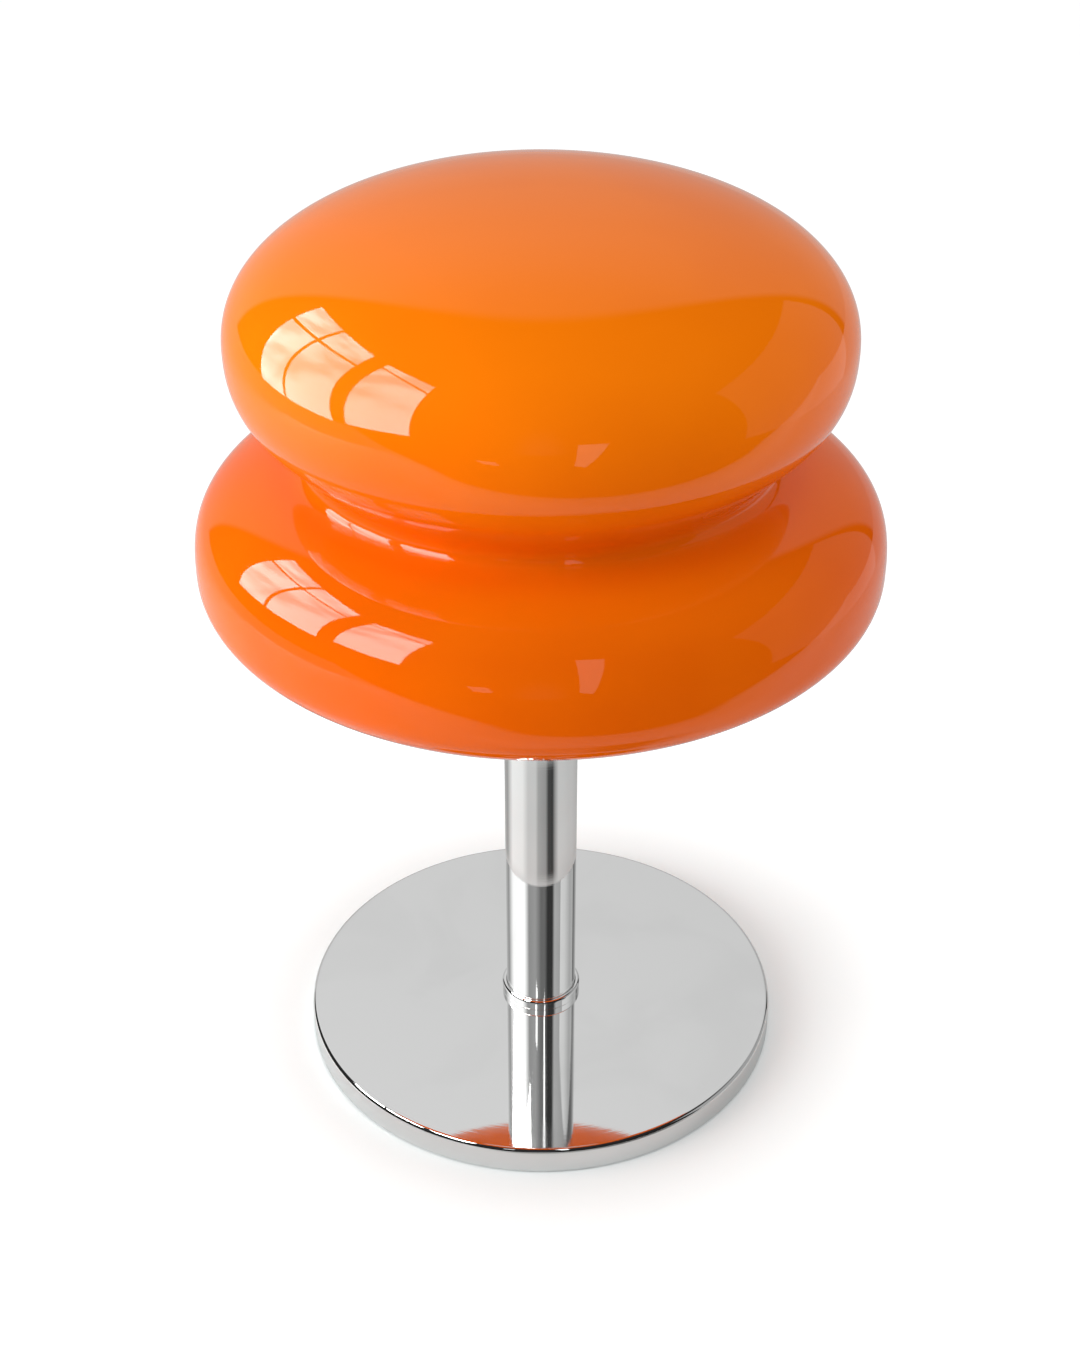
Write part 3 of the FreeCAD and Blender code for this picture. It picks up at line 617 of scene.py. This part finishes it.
zinc = finish("zinc_plate", (0.44, 0.44, 0.42), (0.58, 0.57, 0.53), 260, (0.28, 0.46), 0.08, metallic=1.0)
rod = threaded(
    "threaded_rod", rod_low.z, rod_high.z, rod_bore, rod_radius, rod_thread, rod_pitch, rod_steps, rod_rows,
    sharp_thread)
fit(sharpen(rod, 70), zinc, "zinc", "stand", "tie_rod")
dress(zinc, "lower_washer", "lower_lock_washer", "lower_nut", "upper_washer", "upper_nut", "foot_plug")

bush_white = finish("nylon_bush", (0.70, 0.70, 0.67), (0.78, 0.78, 0.75), 300, (0.35, 0.50), 0.05)
dress(bush_white, "lower_rod_bush", "upper_rod_bush")

# ================================================================ stem
# A drawn steel tube, polished along its length and plated. A turned ring with a rolled upper edge
# sits round its foot, and a flanged cap closes its top under the gallery.

tube_low, tube_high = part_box("stem_tube")
tube_radius = tube_high.x
tube_bore = tube_radius - 1.5 * MM
outline = rounded(
    [(tube_bore, tube_high.z), (tube_bore, tube_low.z),
     (tube_radius, tube_low.z), (tube_radius, tube_high.z)],
    [broken_edge] * 4)
fit(turned("stem", *outline), chrome, "chrome", "stand", "stem_tube")

ring_low, ring_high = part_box("foot_ring")
ring_bore = tube_radius + 0.1 * MM
outline = rounded(
    [(ring_bore, ring_high.z), (ring_bore, ring_low.z),
     (ring_high.x, ring_low.z), (ring_high.x, ring_high.z)],
    [0.5 * MM, broken_edge, 0.3 * MM, 1.6 * MM], steps=12)
fit(turned("foot_collar", *outline), chrome, "chrome", "stand", "foot_ring")

cap_low, cap_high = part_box("stem_cap")
outline = rounded(
    [(rod_hole, cap_high.z), (rod_hole, cap_low.z), (tube_bore - 0.1 * MM, cap_low.z),
     (tube_bore - 0.1 * MM, tube_high.z), (cap_high.x, tube_high.z), (cap_high.x, cap_high.z)],
    [broken_edge, broken_edge, 0.4 * MM, 0.1 * MM, 0.3 * MM, 0.3 * MM])
fit(turned("stem_top_cap", *outline), chrome, "chrome", "stand", "stem_cap")

# ================================================================ gallery
# A flat steel plate carries the glass, and an upright collar brazed on it centres the mouth. Both
# are plated like the stem, and a thin clear silicone ring lies on the plate under the glass.

plate_low, plate_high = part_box("gallery")
plate_radius = plate_high.x
outline = rounded(
    [(rod_hole, plate_high.z), (rod_hole, plate_low.z),
     (plate_radius, plate_low.z), (plate_radius, plate_high.z)],
    [broken_edge, broken_edge, 0.8 * MM, 0.3 * MM])
fit(turned("gallery_plate", *outline), chrome, "chrome", "stand", "gallery")

collar_low, collar_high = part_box("gallery_collar")
collar_bore = collar_high.x - 2.0 * MM
outline = rounded(
    [(collar_bore, collar_high.z), (collar_bore, collar_low.z),
     (collar_high.x, collar_low.z), (collar_high.x, collar_high.z)],
    [0.8 * MM, 0.1 * MM, 0.1 * MM, 0.8 * MM])
fit(turned("centring_collar", *outline), chrome, "chrome", "stand", "gallery_collar")

clear = finish("clear_silicone", (0.55, 0.55, 0.52), (0.66, 0.66, 0.63), 500, (0.30, 0.45), 0.1)
dress(clear, "gallery_gasket")

# ================================================================ lampholder
# A moulded two-part housing, screwed on to the rod and locked by a grub screw. It clamps a glazed
# ceramic core with two terminal screws, a sprung centre tongue and a pressed brass screw shell.

holder_plastic = finish(
    "holder_moulding", (0.70, 0.68, 0.61), (0.76, 0.74, 0.67), 120, (0.18, 0.32), 0.03, coat=0.3)
dress(holder_plastic, "holder_cap", "holder_shell")
glaze = finish("glazed_ceramic", (0.74, 0.72, 0.66), (0.80, 0.78, 0.73), 60, (0.08, 0.18), 0.04, coat=0.6)
dress(glaze, "holder_insert")
dress(zinc, "holder_grub_screw", "holder_terminal_screws")
brass = finish(
    "pressed_brass", (0.50, 0.32, 0.10), (0.66, 0.46, 0.17), 140, (0.20, 0.38), 0.06, metallic=1.0,
    stretch=(1, 1, 6))
dress(brass, "holder_centre_contact")

shell_low, shell_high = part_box("holder_screw_shell")
lamp_pitch = 3.63 * MM
lamp_thread = 1.1 * MM
lamp_steps = 96
lamp_rows = 14
wave_to_the_end = -0.5 * lamp_pitch
shell_wall = 0.5 * MM


def round_thread(phase):
    """The lamp thread's soft wave: 0 on its crests and 1 in its troughs."""
    return 0.5 - 0.5 * np.cos(2 * np.pi * phase)


def pressed_thread(name, low, high, outer_crest, wall, plain_low, plain_high, floor_radius=None, flare=0.0):
    """A thin sleeve rolled into a lamp thread. Both faces follow the same wave at the phase z / pitch -
    a / (2 pi), and the wave dies out over the plain ends. With a floor, the sleeve starts a flare above it
    and the grid also crosses the floor's two faces, from the axis and back to it."""
    height = np.linspace(low + flare, high, int((high - low) / lamp_pitch * lamp_rows) + 1)
    angle = 2 * np.pi * np.arange(lamp_steps) / lamp_steps
    rise = np.clip((height - height[0] - plain_low) / lamp_pitch, 0, 1)
    fall = np.clip((high - height - plain_high) / lamp_pitch, 0, 1)
    wave = round_thread(height[:, None] / lamp_pitch - angle / (2 * np.pi)) * (rise * fall)[:, None]
    radius = outer_crest - lamp_thread * wave
    radius = np.concatenate([radius, (radius - wall)[::-1]])
    level = np.r_[height, height[::-1]]
    if floor_radius:
        crossing = np.array([0, floor_radius])[:, None] + 0 * angle
        radius = np.concatenate([crossing, radius, crossing[::-1] - wall * (crossing[::-1] > 0)])
        level = np.r_[low, low, level, low + wall, low + wall]
    points = np.stack([radius * np.cos(angle), radius * np.sin(angle), level[:, None] + 0 * angle], -1)
    return grid_piece(name, points, None, closed=not floor_radius, pole=radius.max(axis=1) < 1e-9)


sleeve = pressed_thread(
    "lamp_screw_shell", shell_low.z, shell_high.z, shell_high.x, shell_wall, 4.0 * MM, wave_to_the_end)
fit(sharpen(sleeve, 60), brass, "brass", "stand", "holder_screw_shell")

# ================================================================ bulb
# A household lamp with a frosted dome over a board of light diodes, a white plastic cone and a
# rolled nickel screw cap. A ring of dark glass parts the cap from its centre contact.

nickel = finish(
    "rolled_nickel", (0.50, 0.49, 0.46), (0.60, 0.59, 0.56), 200, (0.16, 0.34), 0.05, metallic=1.0)
dress(nickel, "bulb_contact")
dark_glass = finish("black_glass", (0.006, 0.006, 0.008), (0.012, 0.012, 0.014), 90, (0.06, 0.16), 0.03)
dress(dark_glass, "bulb_insulator")
cone_white = finish("cone_plastic", (0.74, 0.74, 0.73), (0.80, 0.80, 0.79), 500, (0.34, 0.50), 0.06)
dress(cone_white, "bulb_body")
board_white = finish("board_mask", (0.68, 0.69, 0.66), (0.76, 0.77, 0.74), 220, (0.28, 0.40), 0.05)
dress(board_white, "bulb_led_board")
frosted = finish("frosted_dome", (0.80, 0.80, 0.78), (0.85, 0.85, 0.83), 30, (0.38, 0.48), 0.02)
dress(frosted, "bulb_globe")

cap_low, cap_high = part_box("bulb_cap")
cap_wall = 0.4 * MM
cap_floor_radius = 10.5 * MM
cap_sleeve = pressed_thread(
    "bulb_screw_cap", cap_low.z, cap_high.z, cap_high.x, cap_wall, wave_to_the_end, 2.0 * MM,
    cap_floor_radius, cap_high.x - cap_floor_radius)
fit(sharpen(cap_sleeve, 60), nickel, "nickel", "bulb", "bulb_cap")

# ================================================================ glass
# One piece of cased glass, blown in two tiers: orange over white, opaque, with a bright fire
# polish. It stands on the gallery by its open mouth and lifts straight off.

glass_wall = 3.5 * MM
mouth_radius = 50.0 * MM
glass_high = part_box("shade")[1]
lower_radius = glass_high.x
lower_drop, lower_drop_power = 50.5 * MM, 2.41
lower_rise, lower_rise_power = 62.0 * MM, 2.95
upper_radius = 159.8 * MM
upper_drop, upper_drop_power = 69.5 * MM, 2.47
upper_rise, upper_rise_power = 73.4 * MM, 2.19
tier_spacing = 121.0 * MM
waist_upper_radius, waist_upper_pull = 146.0 * MM, 24.0 * MM
waist_lower_radius, waist_lower_pull = 136.0 * MM, 24.0 * MM
outline_points = 230
lip_points = 14
mouth_share = (mouth_radius + glass_wall / 2) / lower_radius
lower_equator = glass_high.z - upper_rise - tier_spacing
upper_equator = glass_high.z - upper_rise


def quarter(radius, middle, rise, power, start, stop, count):
    """A stretch of a superellipse's quarter: its radius is radius times cos(t) to the 2/power, and its
    height the middle plus rise times sin(t) to the 2/power, for t from start to stop."""
    t = np.linspace(start, stop, count)
    c, s = np.clip(np.cos(t), 0, 1), np.clip(np.sin(t), 0, 1)
    return np.c_[radius * c ** (2 / power), middle + rise * s ** (2 / power)]


def direction(radius, rise, power, t):
    """The unit tangent of the quarter at t, towards falling t."""
    c, s = math.cos(t), math.sin(t)
    along = np.array([radius * c ** (2 / power - 1) * s, -rise * s ** (2 / power - 1) * c])
    return along / np.linalg.norm(along)


def evenly(points, count):
    """The same curve with its points at even steps along it."""
    way = np.r_[0, np.cumsum(np.hypot(*np.diff(points, axis=0).T))]
    wanted = np.linspace(0, way[-1], count)
    return np.c_[np.interp(wanted, way, points[:, 0]), np.interp(wanted, way, points[:, 1])]


def glass_outline(count):
    """The outside from mouth to crown: belly and shoulder of the lower tier, a cubic curve for the
    waist, then the underside and crown of the upper tier."""
    dense = 900
    right = math.pi / 2
    t_mouth = math.acos(mouth_share ** (lower_drop_power / 2))
    t_shoulder = math.acos((waist_lower_radius / lower_radius) ** (lower_rise_power / 2))
    t_under = math.acos((waist_upper_radius / upper_radius) ** (upper_drop_power / 2))
    belly = quarter(lower_radius, lower_equator, -lower_drop, lower_drop_power, t_mouth, 0, dense)
    shoulder = quarter(lower_radius, lower_equator, lower_rise, lower_rise_power, 0, t_shoulder, dense)
    under = quarter(upper_radius, upper_equator, -upper_drop, upper_drop_power, t_under, 0, dense)
    crown = quarter(upper_radius, upper_equator, upper_rise, upper_rise_power, 0, right, dense)
    leave = direction(lower_radius, lower_rise, lower_rise_power, t_shoulder)
    enter = direction(upper_radius, -upper_drop, upper_drop_power, t_under)
    first = shoulder[-1] - leave * waist_lower_pull
    second = under[0] - enter * waist_upper_pull
    t = np.linspace(0, 1, dense)[:, None]
    waist = ((1 - t) ** 3 * shoulder[-1] + 3 * t * (1 - t) ** 2 * first
             + 3 * t * t * (1 - t) * second + t**3 * under[0])
    whole = np.concatenate([belly, shoulder[1:], waist[1:], under[1:], crown[1:]])
    return evenly(whole, count)


def outward(points):
    """Unit normals of an outline, square to its tangent, on its right hand."""
    along = np.gradient(points, axis=0)
    along[-1] = (-1, 0)
    along /= np.linalg.norm(along, axis=1)[:, None]
    return np.c_[along[:, 1], -along[:, 0]]


def blown_glass():
    """The glass as one closed skin: down the inside from the crown, round the lip, up the outside."""
    outside = glass_outline(outline_points)
    outside[-1, 0] = 0
    square = outward(outside)
    square[0] /= np.linalg.norm(square[0])
    inside = (outside - square * glass_wall)[::-2]
    inside[0] = (0, outside[-1, 1] - glass_wall)
    inner = -square[::-2]
    start = math.atan2(inner[-1, 1], inner[-1, 0])
    stop = math.atan2(square[0, 1], square[0, 0])
    turn = (stop - start) % (2 * math.pi)
    angles = start + turn * np.linspace(0, 1, lip_points)[1:-1]
    middle = (inside[-1] + outside[0]) / 2
    lip_normal = np.c_[np.cos(angles), np.sin(angles)]
    lip = middle + lip_normal * glass_wall / 2
    return np.concatenate([inside, lip, outside]), np.concatenate([inner, lip_normal, square])


shaded_orange = (0.76, 0.110, 0.0005)
lit_orange = (0.97, 0.203, 0.0015)
# Painted light and shade over the share of the height: yellower on the crown and the shoulder's top, reddest
# in the waist.
painted_light_by_height = (
    (0.60, 0.05), (0.69, 0.08), (0.725, 0.45), (0.742, 0), (0.78, 0.05), (0.82, 0.3), (0.86, 0.5), (0.94, 1))
drift_scale = 9.0
drift_depth = 0.12
ripple_scale = 11.0
ripple_depth = 0.25
fire_polish = 0.03
smear_rough = 0.02
skin_gloss = 0.26


def cased_glass():
    """Orange glass over white, with painted light and shade by height: yellower high up and on the shoulder's
    top, redder low down and in the waist. Slow waves in the skin bend the mirrored room a little."""
    material, tree = new_material("cased_orange_glass")
    spot = place(tree, "ShaderNodeTexCoord").outputs["Object"]
    height = place(tree, "ShaderNodeSeparateXYZ", {0: spot}).outputs["Z"]
    share = sum_of(tree, height, 1 / glass_high.z, "MULTIPLY")
    tier = shades(tree, share, painted_light_by_height)
    cloud = place(tree, "ShaderNodeTexNoise", {"Vector": spot, "Scale": drift_scale, "Detail": 2.0})
    drift = soft_step(tree, cloud.outputs[0], *grain_span, -drift_depth, drift_depth)
    colour = between(tree, sum_of(tree, tier, drift), shaded_orange, lit_orange)
    slow = place(tree, "ShaderNodeTexNoise", {"Vector": spot, "Scale": ripple_scale, "Detail": 0.0})
    worn = place(tree, "ShaderNodeGroup", node_tree=marks)
    smear = sum_of(tree, worn.outputs["Smears"], smear_rough, "MULTIPLY")
    shaded(tree, place(tree, "ShaderNodeBsdfPrincipled", {
        "Base Color": colour, "Roughness": sum_of(tree, smear, fire_polish), "IOR": 1.5,
        "Specular IOR Level": skin_gloss, "Normal": bumped(tree, slow.outputs[0], ripple_depth)}))
    return material


skin, skin_normals = blown_glass()
blown_shade = turned("blown_shade", skin, skin_normals, closed=False, steps=256)
fit(blown_shade, cased_glass(), "orange_glass", "glass", "shade")
